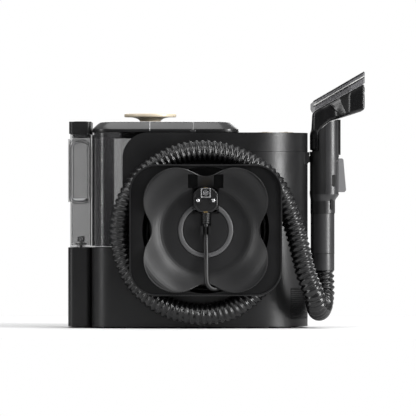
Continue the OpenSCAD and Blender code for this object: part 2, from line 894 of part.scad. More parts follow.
module plug() {
    color("#131315") facing(drum_x, 0, plug_z) difference() {
        union() {
            translate([0, 0, 85]) linear_extrude(-plug_face_y - 85) intersection() {
                square(plug_w, center = true);
                circle(17);
            }
            for (x = [-9.5, 9.5]) translate([x, -0.7, -plug_face_y]) {
                cylinder(h = 18, r = 2.4);
                translate([0, 0, 18]) cylinder(h = 1, r1 = 2.4, r2 = 1.6);
            }
        }
        translate([0, 9, -plug_face_y - 12]) cylinder(h = 20, r = 2.5);
        for (s = [-1, 1]) translate([0, s * 15.3, -plug_face_y])
            cube([6, 1.6, 12], center = true);
    }
}

module plug_relief() {
    color("#101012") translate([lead_x, lead_y, 130.5])
        cylinder(h = plug_z - plug_w / 2 - 130.5, r1 = 3.6, r2 = 5.4);
}

chassis();
feet();
side_shell_near();
side_shell_far();
rear_top_cover();
nose_base();
tank_bay();
outlet_seal();
exhaust_grille();
motor_housing();
vacuum_motor();
motor_mount();
fan_impeller();
fan_shaft();
water_pump();
suction_duct();
control_board();
power_button();
mode_button();
drum_core();
drum_flange();
winding_dish();
dish_post();
plug_holder();
drum_screws();
hose_port();
dock_bracket();
clean_tank();
clean_tank_cap();
tank_valve();
valve_spring();
waste_tank();
separator_duct();
float_cage();
float();
lid_front();
lid_rear();
lid_seal();
lid_knob();
wand_shell_left();
wand_shell_right();
wand_tube();
hose_cuff();
trigger();
trigger_pin();
trigger_spring();
spray_valve();
nozzle_latch();
nozzle_body();
nozzle_cover();
mouth_strip();
spray_tip();
suction_hose();
mains_lead();
lead_coil();
lead_gland();
plug();
plug_relief();
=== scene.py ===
import json
import math

import bmesh
import bpy
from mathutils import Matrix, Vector


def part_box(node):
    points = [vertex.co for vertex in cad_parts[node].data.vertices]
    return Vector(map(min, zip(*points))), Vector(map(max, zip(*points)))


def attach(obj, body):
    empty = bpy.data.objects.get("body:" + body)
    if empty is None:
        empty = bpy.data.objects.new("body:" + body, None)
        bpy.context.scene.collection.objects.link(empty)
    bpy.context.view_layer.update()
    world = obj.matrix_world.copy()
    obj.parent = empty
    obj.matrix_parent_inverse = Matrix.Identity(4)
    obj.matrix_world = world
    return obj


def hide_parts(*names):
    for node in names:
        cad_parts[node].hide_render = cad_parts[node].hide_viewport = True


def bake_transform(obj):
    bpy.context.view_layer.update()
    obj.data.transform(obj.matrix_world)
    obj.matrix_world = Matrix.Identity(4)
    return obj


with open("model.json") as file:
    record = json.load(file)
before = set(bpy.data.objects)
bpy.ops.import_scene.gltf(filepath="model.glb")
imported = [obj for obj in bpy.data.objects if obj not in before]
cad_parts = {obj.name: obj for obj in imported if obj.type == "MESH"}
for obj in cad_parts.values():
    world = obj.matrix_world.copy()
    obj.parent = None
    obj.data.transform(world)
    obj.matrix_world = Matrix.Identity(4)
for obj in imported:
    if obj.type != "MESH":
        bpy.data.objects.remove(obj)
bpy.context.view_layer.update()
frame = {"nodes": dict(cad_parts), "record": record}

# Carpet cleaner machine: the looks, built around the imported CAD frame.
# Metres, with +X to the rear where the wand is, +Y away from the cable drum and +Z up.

mm = 0.001
nodes = frame["nodes"]
scene = bpy.context.scene

# ---------------------------------------------------------------- camera, light and world

aim = Vector((-0.0106, 0, 0.1505))
camera = bpy.data.objects.new("camera", bpy.data.cameras.new("camera"))
camera.data.lens = 600
camera.data.sensor_width = 36
camera.data.clip_end = 40
camera.location = aim + Vector((0, -8.74, 0))
camera.rotation_euler = (math.radians(90), 0, 0)
scene.collection.objects.link(camera)
scene.camera = camera


def soft_light(name, place, size, power, at=(0, 0, 0.14)):
    """A rectangular area light that faces a point."""
    light = bpy.data.lights.new(name, "AREA")
    light.shape = "RECTANGLE"
    light.size, light.size_y = size
    light.energy = power
    obj = bpy.data.objects.new(name, light)
    obj.location = place
    obj.rotation_euler = (Vector(at) - obj.location).to_track_quat("-Z", "Y").to_euler()
    scene.collection.objects.link(obj)


soft_light("key_right", (1.35, -1.0, 1.45), (1.0, 0.8), 29)
soft_light("strip_left", (-1.9, -0.9, 0.7), (0.35, 1.4), 15)
soft_light("top_soft", (-0.2, -0.1, 1.9), (1.4, 0.9), 11)
soft_light("strip_right", (1.6, -0.92, 0.25), (0.34, 1.0), 36)
soft_light("back_soft", (0.2, 1.9, 1.1), (1.6, 1.0), 20)


def studio_world():
    """White behind the object; for the object's own light, bright overhead and dim at the horizon."""
    world = bpy.data.worlds.new("studio")
    world.use_nodes = True
    tree = world.node_tree
    add = tree.nodes.new
    coords, split = add("ShaderNodeTexCoord"), add("ShaderNodeSeparateXYZ")
    heights = add("ShaderNodeValToRGB")
    tree.links.new(coords.outputs["Generated"], split.inputs["Vector"])
    tree.links.new(split.outputs["Z"], heights.inputs["Fac"])
    heights.color_ramp.elements[0].color = (0.055, 0.055, 0.055, 1)
    heights.color_ramp.elements[1].position = 0.9
    heights.color_ramp.elements[1].color = (0.75, 0.75, 0.76, 1)
    seen, mix = add("ShaderNodeLightPath"), add("ShaderNodeMixShader")
    white = add("ShaderNodeBackground")
    white.inputs["Color"].default_value = (1, 1, 1, 1)
    soft = tree.nodes["Background"]
    tree.links.new(heights.outputs["Color"], soft.inputs["Color"])
    tree.links.new(seen.outputs["Is Camera Ray"], mix.inputs["Fac"])
    tree.links.new(soft.outputs["Background"], mix.inputs[1])
    tree.links.new(white.outputs["Background"], mix.inputs[2])
    tree.links.new(mix.outputs["Shader"], tree.nodes["World Output"].inputs["Surface"])
    scene.world = world


studio_world()
scene.view_settings.view_transform = "Standard"

# ---------------------------------------------------------------- materials


def new_material(name, rough=0.5, metal=0.0, coat=0.0, **sockets):
    """A new material's name, tree and Principled node, with its constant sockets set."""
    mat = bpy.data.materials.new(name)
    mat.use_nodes = True
    bsdf = mat.node_tree.nodes["Principled BSDF"]
    bsdf.inputs["Roughness"].default_value = rough
    bsdf.inputs["Metallic"].default_value = metal
    bsdf.inputs["Coat Weight"].default_value = coat
    for socket, value in sockets.items():
        bsdf.inputs[socket.replace("_", " ")].default_value = value
    return mat, mat.node_tree, bsdf


def noise(tree, scale, detail=4.0, stretch=None, kind="ShaderNodeTexNoise"):
    """A noise in object space, in metres, stretched along an axis where asked."""
    coords = tree.nodes.new("ShaderNodeTexCoord")
    mapping = tree.nodes.new("ShaderNodeMapping")
    if stretch:
        mapping.inputs["Scale"].default_value = stretch
    tex = tree.nodes.new(kind)
    tex.inputs["Scale"].default_value = scale
    if "Detail" in tex.inputs:
        tex.inputs["Detail"].default_value = detail
    tree.links.new(coords.outputs["Object"], mapping.inputs["Vector"])
    tree.links.new(mapping.outputs["Vector"], tex.inputs["Vector"])
    return tex


def ramp(tree, source, stops):
    """A colour ramp fed by a socket, with its (place, colour) stops."""
    node = tree.nodes.new("ShaderNodeValToRGB")
    while len(node.color_ramp.elements) < len(stops):
        node.color_ramp.elements.new(0.5)
    for element, (place, colour) in zip(node.color_ramp.elements, stops):
        element.position = place
        element.color = (*colour, 1) if len(colour) == 3 else colour
    tree.links.new(source, node.inputs["Fac"])
    return node


def shade(colour, k):
    """A colour made k times as bright."""
    return tuple(max(0.0, min(1.0, c * k)) for c in colour)


def moulded(name, colour, rough=0.45, coat=0.0, grain=900, depth=0.12, blotch=9, spread=0.09,
            rough_spread=0.06, metal=0.0, stretch=None, **sockets):
    """Moulded plastic or rubber: slow colour drift, fine grain in the bump, worn patches in the gloss."""
    mat, tree, bsdf = new_material(name, rough, metal, coat, **sockets)
    drift = noise(tree, blotch, 5, stretch)
    colours = ramp(tree, drift.outputs["Fac"],
                   [(0.3, shade(colour, 1 - spread)), (0.5, colour), (0.72, shade(colour, 1 + spread))])
    speck = noise(tree, max(3000, grain * 2), 2)
    mix = tree.nodes.new("ShaderNodeMix")
    mix.data_type = "RGBA"
    mix.blend_type = "OVERLAY"
    mix.inputs["Factor"].default_value = 0.16
    tree.links.new(colours.outputs["Color"], mix.inputs["A"])
    tree.links.new(speck.outputs["Fac"], mix.inputs["B"])
    tree.links.new(mix.outputs["Result"], bsdf.inputs["Base Color"])
    scuffs = noise(tree, blotch * 3.2, 6)
    gloss = tree.nodes.new("ShaderNodeMapRange")
    gloss.inputs["From Min"].default_value = 0.3
    gloss.inputs["From Max"].default_value = 0.7
    gloss.inputs["To Min"].default_value = max(0.02, rough - rough_spread)
    gloss.inputs["To Max"].default_value = min(1, rough + rough_spread)
    tree.links.new(scuffs.outputs["Fac"], gloss.inputs["Value"])
    tree.links.new(gloss.outputs["Result"], bsdf.inputs["Roughness"])
    if depth:
        fine = noise(tree, grain, 3, stretch)
        bump = tree.nodes.new("ShaderNodeBump")
        bump.inputs["Strength"].default_value = depth
        bump.inputs["Distance"].default_value = 0.0003
        tree.links.new(fine.outputs["Fac"], bump.inputs["Height"])
        tree.links.new(bump.outputs["Normal"], bsdf.inputs["Normal"])
    return mat


MATS = {
    "frame_black": moulded("frame_black", (0.006, 0.006, 0.0064), 0.4, depth=0.25, grain=1500,
                           Specular_IOR_Level=0.35),
    "shell_black": moulded("shell_black", (0.0078, 0.0078, 0.0082), 0.36, depth=0.2, grain=1700,
                           Specular_IOR_Level=0.38),
    "drum_black": moulded("drum_black", (0.0035, 0.0035, 0.0038), 0.42, depth=0.2, grain=1500,
                          Specular_IOR_Level=0.25),
    "dish_grey": moulded("dish_grey", (0.01, 0.01, 0.0105), 0.4, depth=0.18, grain=1700,
                         Specular_IOR_Level=0.32),
    # Lighter grey of the dish's groove ring: painted highlight.
    "ring_highlight_grey": moulded("ring_highlight_grey", (0.075, 0.075, 0.077), 0.34, depth=0.15, grain=1700),
    # Also the nozzle cover's dark rods at its top edge and groove, which are painted shade.
    "gloss_black": moulded("gloss_black", (0.0045, 0.0045, 0.0048), 0.27, coat=0.12, depth=0.02,
                           rough_spread=0.04, Coat_Roughness=0.2, Specular_IOR_Level=0.4),
    "lid_gloss": moulded("lid_gloss", (0.009, 0.009, 0.0095), 0.3, coat=0.15, depth=0.02,
                         rough_spread=0.05, Coat_Roughness=0.15, Specular_IOR_Level=0.5),
    "smoky_clear": moulded("smoky_clear", (0.06, 0.06, 0.062), 0.12, depth=0, rough_spread=0.05,
                           Alpha=0.34),
    # Dark smoke for the sheet inside the waste tank's front: painted shade.
    "liner_smoke": moulded("liner_smoke", (0.018, 0.018, 0.019), 0.3, depth=0, Alpha=0.5),
    # Whitish, for the clean tank's thumb ledges as painted highlight and for the lid's mark line.
    "clear_edge": moulded("clear_edge", (0.55, 0.55, 0.56), 0.15, depth=0, rough_spread=0.04, Alpha=0.85),
    "clear": moulded("clear", (0.22, 0.22, 0.225), 0.06, coat=0.4, depth=0, rough_spread=0.03,
                     Alpha=0.32),
    # Dark lines on the clean tank's raised frames: painted shade.
    "tank_line": moulded("tank_line", (0.045, 0.045, 0.047), 0.3, depth=0.05, Alpha=0.75),
    "cover_clear": moulded("cover_clear", (0.11, 0.108, 0.116), 0.16, coat=0.25, depth=0,
                           rough_spread=0.04, Alpha=0.55),
    "champagne": moulded("champagne", (0.72, 0.63, 0.48), 0.38, metal=0.15, grain=2400, depth=0.08,
                         spread=0.05, rough_spread=0.06, Anisotropic=0.3),
    "wand_black": moulded("wand_black", (0.0055, 0.0055, 0.0058), 0.42, depth=0.28, grain=1500),
    "wand_grey": moulded("wand_grey", (0.022, 0.022, 0.023), 0.36, depth=0.2, grain=1500),
    "trigger_grey": moulded("trigger_grey", (0.17, 0.17, 0.174), 0.38, depth=0.2),
    "rubber_black": moulded("rubber_black", (0.009, 0.009, 0.009), 0.72, depth=0.4, grain=2200),
    "hose_black": moulded("hose_black", (0.0036, 0.0036, 0.0039), 0.25, depth=0.15, grain=1300),
    "lead_black": moulded("lead_black", (0.0045, 0.0045, 0.0048), 0.42, depth=0.25, grain=2600),
    "plug_black": moulded("plug_black", (0.0045, 0.0045, 0.0048), 0.36, depth=0.2, grain=2200),
    "inner_grey": moulded("inner_grey", (0.09, 0.09, 0.092), 0.42, depth=0.2),
    # Also the nozzle cover's white bead, which is a painted highlight.
    "white_plastic": moulded("white_plastic", (0.62, 0.62, 0.6), 0.42, depth=0.2, spread=0.06),
    "float_orange": moulded("float_orange", (0.55, 0.16, 0.035), 0.42, depth=0.2),
    "board_green": moulded("board_green", (0.02, 0.13, 0.05), 0.42, depth=0.3, grain=500),
    "steel": moulded("steel", (0.56, 0.56, 0.57), 0.26, metal=1.0, grain=2600, depth=0.1, spread=0.05),
    "brass": moulded("brass", (0.62, 0.44, 0.19), 0.28, metal=1.0, grain=2600, depth=0.1, spread=0.07),
    "aluminium": moulded("aluminium", (0.6, 0.6, 0.61), 0.32, metal=1.0, grain=2200, depth=0.12,
                         spread=0.05),
}

# ---------------------------------------------------------------- mesh helpers


def mesh_of(name, verts, faces, slot, body, smooth=35):
    """A new mesh riding on a body, in its slot's material, smooth up to that angle."""
    mesh = bpy.data.meshes.new(name)
    mesh.from_pydata([tuple(v) for v in verts], [], faces)
    mesh.update()
    bm = bmesh.new()
    bm.from_mesh(mesh)
    bmesh.ops.recalc_face_normals(bm, faces=bm.faces)
    bm.to_mesh(mesh)
    bm.free()
    return placed(bpy.data.objects.new(name, mesh), slot, body, smooth)


def placed(obj, slot, body, smooth=35):
    """Links an object, gives it its material and slot, and sets it on its body, if it has one."""
    if obj.name not in scene.collection.objects:
        scene.collection.objects.link(obj)
    obj.data.materials.clear()
    obj.data.materials.append(MATS[slot])
    if smooth:
        obj.data.shade_smooth()
        obj.data.set_sharp_from_angle(angle=math.radians(smooth))
    if body:
        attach(obj, body)
    return obj


def soften(obj, width, segments=2, angle=35):
    """Rounds an object's sharp edges without changing its mesh."""
    bevel = obj.modifiers.new("edges", "BEVEL")
    bevel.width = width
    bevel.segments = segments
    bevel.limit_method = "ANGLE"
    bevel.angle_limit = math.radians(angle)
    bevel.use_clamp_overlap = True
    bevel.harden_normals = True
    return obj


def spline(points, step):
    """Even points about a step apart on a smooth curve through the given ones."""
    p = [Vector(q) for q in points]
    p = [2 * p[0] - p[1], *p, 2 * p[-1] - p[-2]]
    dense = []
    for a, b, c, d in zip(p, p[1:], p[2:], p[3:]):
        t1 = (b - a).length ** 0.5
        t2 = t1 + (c - b).length ** 0.5
        t3 = t2 + (d - c).length ** 0.5
        count = max(4, math.ceil(4 * (c - b).length / step))
        for i in range(count):
            t = t1 + (t2 - t1) * i / count
            a1 = a.lerp(b, t / t1)
            a2 = b.lerp(c, (t - t1) / (t2 - t1))
            a3 = c.lerp(d, (t - t2) / (t3 - t2))
            b1 = a1.lerp(a2, t / t2)
            b2 = a2.lerp(a3, (t - t1) / (t3 - t1))
            dense.append(b1.lerp(b2, (t - t1) / (t2 - t1)))
    dense.append(p[-2])
    lengths = [0.0]
    for a, b in zip(dense, dense[1:]):
        lengths.append(lengths[-1] + (b - a).length)
    count = max(2, round(lengths[-1] / step))
    out, k = [], 0
    for i in range(count + 1):
        s = lengths[-1] * i / count
        while k < len(dense) - 2 and lengths[k + 1] < s:
            k += 1
        span = lengths[k + 1] - lengths[k] or 1
        out.append(dense[k].lerp(dense[k + 1], (s - lengths[k]) / span))
    return out


def swept(points, radius, sides):
    """Vertices and faces of a closed tube along points; radius(length along, angle) may vary."""
    tangents = [(b - a).normalized() for a, b in zip(points, points[1:])]
    tangents.append(tangents[-1])
    side = tangents[0].orthogonal().normalized()
    verts, faces, along = [], [], 0.0
    for i, (p, t) in enumerate(zip(points, tangents)):
        side = (side - side.dot(t) * t).normalized()
        other = t.cross(side)
        if i:
            along += (p - points[i - 1]).length
        for k in range(sides):
            a = 2 * math.pi * k / sides
            r = radius(along, a)
            verts.append(p + r * (math.cos(a) * side + math.sin(a) * other))
    for i in range(len(points) - 1):
        for k in range(sides):
            n = (k + 1) % sides
            faces.append((i * sides + k, i * sides + n, (i + 1) * sides + n, (i + 1) * sides + k))
    faces.append(tuple(reversed(range(sides))))
    faces.append(tuple((len(points) - 1) * sides + k for k in range(sides)))
    return verts, faces


def turned(profile, centre, axis="Z", segments=96, wobble=None):
    """Vertices and faces of a closed lathe shape from (radius, height) points; both ends on the axis."""
    verts, faces, rings = [], [], []
    for r, h in profile:
        ring = []
        for k in range(1 if r == 0 else segments):
            a = 2 * math.pi * k / segments
            rr = r + (wobble(a, h) if wobble and r else 0)
            x, y = rr * math.cos(a), rr * math.sin(a)
            spot = {"Z": (x, y, h), "-Y": (x, -h, y), "X": (h, x, y)}[axis]
            ring.append(len(verts))
            verts.append(Vector(centre) + Vector(spot))
        rings.append(ring)
    for a, b in zip(rings, rings[1:]):
        for k in range(segments):
            n = (k + 1) % segments
            quad = [a[k % len(a)], a[n % len(a)], b[n % len(b)], b[k % len(b)]]
            quad = [v for i, v in enumerate(quad) if v not in quad[:i]]
            if len(quad) > 2:
                faces.append(tuple(quad))
    return verts, faces


# ---------------------------------------------------------------- cords

drum = Vector((-13.5 * mm, 0, 122.9 * mm))
hose_d = 27 * mm
rib_pitch = 6.9 * mm
rib_depth = 2.3 * mm
cuff_overlap = 1.4          # how far the drawn hose goes on into the wand's cuff, in mm
lead_d = 6 * mm
lead_pitch = 6.2            # between neighbouring turns of the winding, in mm
lead_rows = 4
lead_radii = [74.1, 67.9, 61.7]
lead_start, lead_finish = 132.9, -41.2      # angles where the winding begins and ends, in degrees

# The same points as in part.scad, in mm
hose_route = [
    [134.5, 0, 70.8], [135.5, 0, 54], [135.5, -2, 43], [133.5, -12, 30], [131, -27, 24],
    [129, -45, 22.5], [127, -63, 24], [124.5, -78, 31], [121.5, -87, 43], [116.5, -89.5, 56],
    [111.5, -89.5, 69], [105, -89.5, 95], [98.5, -89.5, 121], [91, -89.5, 143],
    [79, -89.5, 171], [62, -89.5, 192], [42, -89.5, 206.5], [16, -89.5, 217.5],
    [-14, -89.5, 222], [-45, -89.5, 218.5], [-72, -89.5, 206.5], [-96, -89.5, 186],
    [-112, -89.5, 160], [-119.5, -89.5, 130], [-118, -89.5, 99], [-108, -89.5, 70],
    [-90, -89.5, 46], [-66, -89.5, 29], [-36, -89.5, 19.5], [-6, -89.5, 18.5],
    [20, -89.5, 25.5], [42, -89.5, 39.5], [54, -89.5, 52],
]
lead_route = [
    [-13.2, -95.5, 130.5], [-13.2, -95.5, 108], [-13, -96.5, 92], [-12.8, -99.5, 77],
    [-12.6, -103.5, 65], [-11.6, -105.5, 56], [-7.5, -105.2, 50.5], [0, -103, 48.7],
    [10, -97.5, 51.2], [22, -92, 57.5], [33, -88, 65.5], [42, -84.6, 74.3],
]


def suction_hose():
    """One helical rib round a stretch hose, from the port back to the wand's cuff."""
    x, y, z = hose_route[0]
    points = [[x, y, z + cuff_overlap]] + hose_route[1:]
    route = spline([Vector(p) * mm for p in reversed(points)], 0.9 * mm)

    def radius(s, a):
        wave = 0.5 + 0.5 * math.cos(2 * math.pi * s / rib_pitch - a)
        return hose_d / 2 - rib_depth * (1 - wave ** 0.7)

    hose = mesh_of("hose", *swept(route, radius, 48), "hose_black", None, smooth=60)
    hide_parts("suction_hose")
    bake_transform(hose)


def winding():
    """The lead's turns in the drum: rows from back to front, each row out and in by turns."""
    cells = [(r, -66 - lead_pitch * row) for row in range(lead_rows)
             for r in (lead_radii if row % 2 == 0 else lead_radii[::-1])]
    steps = 40
    sweep = lead_start - lead_finish + 360 * (len(cells) - 1)
    points = []
    for i in range(math.ceil(sweep / 360 * steps)):
        turn, part = divmod(i / steps, 1)
        here, after = cells[int(turn)], cells[min(int(turn) + 1, len(cells) - 1)]
        mix = max(0.0, (part - 5 / 6) * 6)
        mix = mix * mix * (3 - 2 * mix)
        r, y = (a + (b - a) * mix for a, b in zip(here, after))
        a = math.radians(lead_start - 360 * i / steps)
        points.append(drum + Vector((r * math.cos(a), y, r * math.sin(a))) * mm)
    return points


def mains_lead(pieces):
    """The lead as one round line: its winding in the drum, then the part that hangs in the dish."""
    route = winding() + spline([Vector(p) * mm for p in reversed(lead_route)], 3 * mm)[1:]
    curve = bpy.data.curves.new("mains_lead_line", "CURVE")
    curve.dimensions = "3D"
    curve.bevel_depth = lead_d / 2
    curve.bevel_resolution = 3
    curve.use_fill_caps = True
    line = curve.splines.new("POLY")
    line.points.add(len(route) - 1)
    for point, place in zip(line.points, route):
        point.co = (*place, 1)
    lead = placed(bpy.data.objects.new("lead", curve), "lead_black", "root", smooth=0)
    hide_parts("mains_lead", "lead_coil")


# ---------------------------------------------------------------- drum, dish and plug

lead_x = -13.2 * mm
plug_centre = Vector((-13.5 * mm, 0, 160.5 * mm))
plug_face = -102 * mm


def rounded_rect(x0, x1, z0, z1, r, corner=8):
    """Outline points of a rectangle with rounded corners, one radius or four from lower left round."""
    radii = r if isinstance(r, (tuple, list)) else (r,) * 4
    middles = [(x0 + radii[0], z0 + radii[0]), (x1 - radii[1], z0 + radii[1]),
               (x1 - radii[2], z1 - radii[2]), (x0 + radii[3], z1 - radii[3])]
    points = []
    for i, ((cx, cz), rad) in enumerate(zip(middles, radii)):
        for k in range(corner + 1):
            a = math.pi * (1 + i / 2) + math.pi / 2 * k / corner
            points.append((cx + rad * math.cos(a), cz + rad * math.sin(a)))
    return points


def lofted(levels, place, closed=True, loop=False):
    """Vertices and faces joining outlines of equal length; place(level, u, v) gives each point."""
    verts, faces = [], []
    count = len(levels[0][1])
    for level, outline in levels:
        verts += [place(level, u, v) for u, v in outline]
    rings = len(levels)
    for i in range(rings if loop else rings - 1):
        j = (i + 1) % rings
        for k in range(count):
            n = (k + 1) % count
            faces.append((i * count + k, i * count + n, j * count + n, j * count + k))
    if closed and not loop:
        faces.append(tuple(reversed(range(count))))
        faces.append(tuple((rings - 1) * count + k for k in range(count)))
    return verts, faces


def toward_front(y, u, v):
    """Point of an outline that is drawn in X and Z, at depth y."""
    return Vector((u, y, v))


def upright(z, u, v):
    """Point of an outline that is drawn in X and Y, at height z."""
    return Vector((u, v, z))


def joined(*parts):
    """Several (vertices, faces) pairs as one."""
    verts, faces = [], []
    for v, f in parts:
        faces += [tuple(i + len(verts) for i in face) for face in f]
        verts += v
    return verts, faces


def plug_pieces():
    """Plug body with recessed face, two pins, earth clips and a ribbed strain relief."""
    half = 15.25 * mm
    cx, cz = plug_centre.x, plug_centre.z
    outline = []
    for k in range(96):
        a = 2 * math.pi * k / 96
        r = min(17 * mm, half / max(abs(math.cos(a)), abs(math.sin(a))))
        outline.append((r * math.cos(a), r * math.sin(a)))

    def scaled(k):
        return [(cx + u * k, cz + v * k) for u, v in outline]

    levels = [(-85 * mm, scaled(0.93)), (-86 * mm, scaled(0.985)), (-88 * mm, scaled(1)),
              (-100.6 * mm, scaled(1)), (-101.6 * mm, scaled(0.97)), (plug_face, scaled(0.93)),
              (plug_face, scaled(0.86)), (plug_face + 0.7 * mm, scaled(0.83))]
    body = mesh_of("plug_body", *lofted(levels, toward_front), "plug_black", "root")
    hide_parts("plug")
    pins, collars = [], []
    for side in (-9.5 * mm, 9.5 * mm):
        spot = (cx + side, 0, cz - 0.7 * mm)
        pins.append(turned([(0, 100 * mm), (2.1 * mm, 100 * mm), (2.1 * mm, 119.6 * mm),
                            (1.9 * mm, 120.4 * mm), (1.2 * mm, 120.9 * mm), (0, 121 * mm)],
                           spot, "-Y", 32))
        collars.append(turned([(0, 100.5 * mm), (4.4 * mm, 100.5 * mm), (4.2 * mm, 102.6 * mm),
                               (3.4 * mm, 103.4 * mm), (2.0 * mm, 103.5 * mm), (0, 103.5 * mm)],
                              spot, "-Y", 32))
    pins = mesh_of("plug_pins", *joined(*pins), "steel", "root")
    collars = mesh_of("plug_pin_collars", *joined(*collars), "plug_black", "root")
    clip_z = cz + 8.9 * mm
    square = [(y * mm, rounded_rect(cx - w * mm, cx + w * mm, clip_z - w * mm, clip_z + w * mm, r * mm, 4))
              for y, w, r in ((-101, 6.2, 1.4), (-102.9, 6.2, 1.4), (-103.3, 5.8, 1.2),
                              (-103.3, 5.2, 1.0), (-102.9, 4.8, 0.9), (-101, 4.8, 0.9))]
    centre = turned([(0, 101.2 * mm), (3.4 * mm, 101.2 * mm), (3.4 * mm, 102.5 * mm),
                     (3.0 * mm, 102.9 * mm), (1.7 * mm, 102.9 * mm), (1.5 * mm, 101.8 * mm),
                     (0, 101.6 * mm)], (cx, 0, clip_z), "-Y", 32)
    clip = mesh_of("earth_clip", *joined(lofted(square, toward_front, loop=True), centre), "steel",
                   "root")
    tongues = []
    for sign in (1, -1):
        z = cz + sign * 15.1 * mm
        outlines = [(y * mm, rounded_rect(cx - w * mm, cx + w * mm, z - 0.7 * mm, z + 0.7 * mm,
                                          0.6 * mm, 3))
                    for y, w in ((-92, 2.6), (-92.6, 3), (-101.6, 3), (-102.4, 2.6))]
        tongues.append(lofted(outlines, toward_front))
    tongues = mesh_of("earth_tongues", *joined(*tongues), "brass", "root")
    profile = [(0, 130.5 * mm)]
    rings = 5
    for i in range(rings):
        z = 131 + i * 2.8
        r = 4.7 + 0.22 * i
        profile += [((r - 0.7) * mm, z * mm), (r * mm, (z + 0.35) * mm), (r * mm, (z + 1.65) * mm),
                    ((r - 0.7) * mm, (z + 2.0) * mm), ((r - 0.7) * mm, (z + 2.6) * mm)]
    profile += [(5.2 * mm, 145.3 * mm), (0, 145.3 * mm)]
    relief = mesh_of("relief_rings", *turned(profile, (lead_x, -95.5 * mm, 0), "Z", 40), "lead_black",
                     "root")
    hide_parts("plug_relief")
    return [body, pins, collars, clip, tongues, relief]


def dish_ring():
    """Raised ring in the dish's groove, cut off where the plug's pocket is; its lighter grey is painted
    highlight on the ring.
    """
    gap = math.radians(26)
    section = [(28.3, -89.3), (28.9, -92.2), (30.2, -92.9), (32.8, -92.9), (34.1, -92.2), (34.7, -89.3)]
    verts, faces, steps = [], [], 120
    for i in range(steps + 1):
        a = math.pi / 2 + gap / 2 + (2 * math.pi - gap) * i / steps
        verts += [drum + Vector((r * math.cos(a), y, r * math.sin(a))) * mm for r, y in section]
    n = len(section)
    for i in range(steps):
        for k in range(n):
            faces.append((i * n + k, i * n + (k + 1) % n, (i + 1) * n + (k + 1) % n, (i + 1) * n + k))
    faces += [tuple(range(n)), tuple(steps * n + k for k in reversed(range(n)))]
    mesh_of("dish_ring", verts, faces, "ring_highlight_grey", "root")


def rim_line():
    """Thin bright-edged lip round the flange's front."""
    cx, cz = drum.x, drum.z
    outer = [(-109.6, 94.7, 81.5, 33.5), (-110.6, 95.25, 82.0, 34), (-111.3, 95.0, 81.75, 33.8),
             (-111.5, 94.2, 81.0, 33), (-111.3, 93.5, 80.3, 32.3), (-109.6, 93.3, 80.1, 32.1)]
    levels = [(y * mm, rounded_rect(cx - w * mm, cx + w * mm, cz - h * mm, cz + h * mm, r * mm, 14))
              for y, w, h, r in outer]
    mesh_of("flange_lip", *lofted(levels, toward_front, loop=True), "shell_black", "root")


# The clover's edge in mm: circles that cut its notches, and circles that round its lobes
notch_out, notch_r = 94, 27
lobe_out, lobe_r = 50.9, 41
notch_half_angle = 11.5


def clover_radius(a):
    """Distance in mm from the drum's centre to the clover's edge in direction a."""
    off_axis = abs((a + math.pi / 4) % (math.pi / 2) - math.pi / 4)
    if math.degrees(off_axis) < notch_half_angle:
        across = notch_out * math.sin(off_axis)
        return notch_out * math.cos(off_axis) - math.sqrt(notch_r ** 2 - across ** 2)
    off_lobe = math.pi / 4 - off_axis
    across = lobe_out * math.sin(off_lobe)
    return lobe_out * math.cos(off_lobe) + math.sqrt(lobe_r ** 2 - across ** 2)


def dish_rim():
    """Rolled bead round the clover dish, rising on its lobes and falling in its notches."""
    path = []
    for i in range(361):
        a = 2 * math.pi * i / 360
        r = clover_radius(a)
        k = min(1, max(0, (r - 51) / (91.9 - 51)))
        y = -92 - 24.5 * k * k * (3 - 2 * k)
        path.append(drum + Vector((r * math.cos(a), y - 0.15, r * math.sin(a))) * mm)
    mesh_of("dish_rim", *swept(path, lambda s, a: 0.75 * mm, 10), "shell_black", "root")


def notch_shade_sheet():
    """Dark sheet behind the top notch and the pockets, in front of the winding: painted shade that hides the
    winding there.
    """
    a0, a1, steps = math.radians(66), math.radians(114), 24
    verts = []
    for y in (-88.0, -88.8):
        for r in (54, 78.6):
            angles = (a0 + (a1 - a0) * i / steps for i in range(steps + 1))
            verts += [drum + Vector((r * math.cos(a), y, r * math.sin(a))) * mm for a in angles]
    n = steps + 1
    faces = []
    for i in range(steps):
        for a, b in ((0, 1), (1, 3), (3, 2), (2, 0)):
            faces.append((a * n + i, a * n + i + 1, b * n + i + 1, b * n + i))
    faces += [(0, n, 3 * n, 2 * n), (n - 1, 2 * n - 1, 4 * n - 1, 3 * n - 1)]
    mesh_of("notch_shade_sheet", verts, faces, "drum_black", "root", smooth=20)


suction_hose()
mains_lead(plug_pieces())
dish_ring()
rim_line()
dish_rim()
notch_shade_sheet()

# ---------------------------------------------------------------- lid, knob and tanks

lid_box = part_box("lid_front")
lid_x0 = lid_box[0].x
lid_x1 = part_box("lid_rear")[1].x
lid_y0, lid_y1 = lid_box[0].y, lid_box[1].y
lid_z0 = lid_box[0].z
split_x = -29.4 * mm
machine_mid = 21.5 * mm     # the body's middle along Y, which both tanks share


def lid_shape(name, node, x0, x1, left, right):
    """One half of the lid: upright rim, 45 degree chamfer, crowned top. left, right: chamfered ends."""
    levels = []
    for z, inset, r in ((0, 1.2, 23), (0.5, 0.4, 24), (1.0, 0, 24), (3.6, 0, 24), (4.4, 0.5, 23.5),
                        (11.6, 8.3, 17), (12.5, 9.6, 16), (13.0, 11.0, 15), (13.2, 13.5, 13)):
        inset_l = inset if left else 0.15
        inset_r = inset if right else 0.15
        rl, rr = (r if left else 0.3), (r if right else 0.3)
        levels.append((lid_z0 + z * mm, rounded_rect(
            x0 + inset_l * mm, x1 - inset_r * mm, lid_y0 + inset * mm, lid_y1 - inset * mm,
            (rl * mm, rr * mm, rr * mm, rl * mm), 12)))
    obj = mesh_of(name, *lofted(levels, upright), "lid_gloss", "waste_lid", smooth=28)
    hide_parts(node)
    return obj


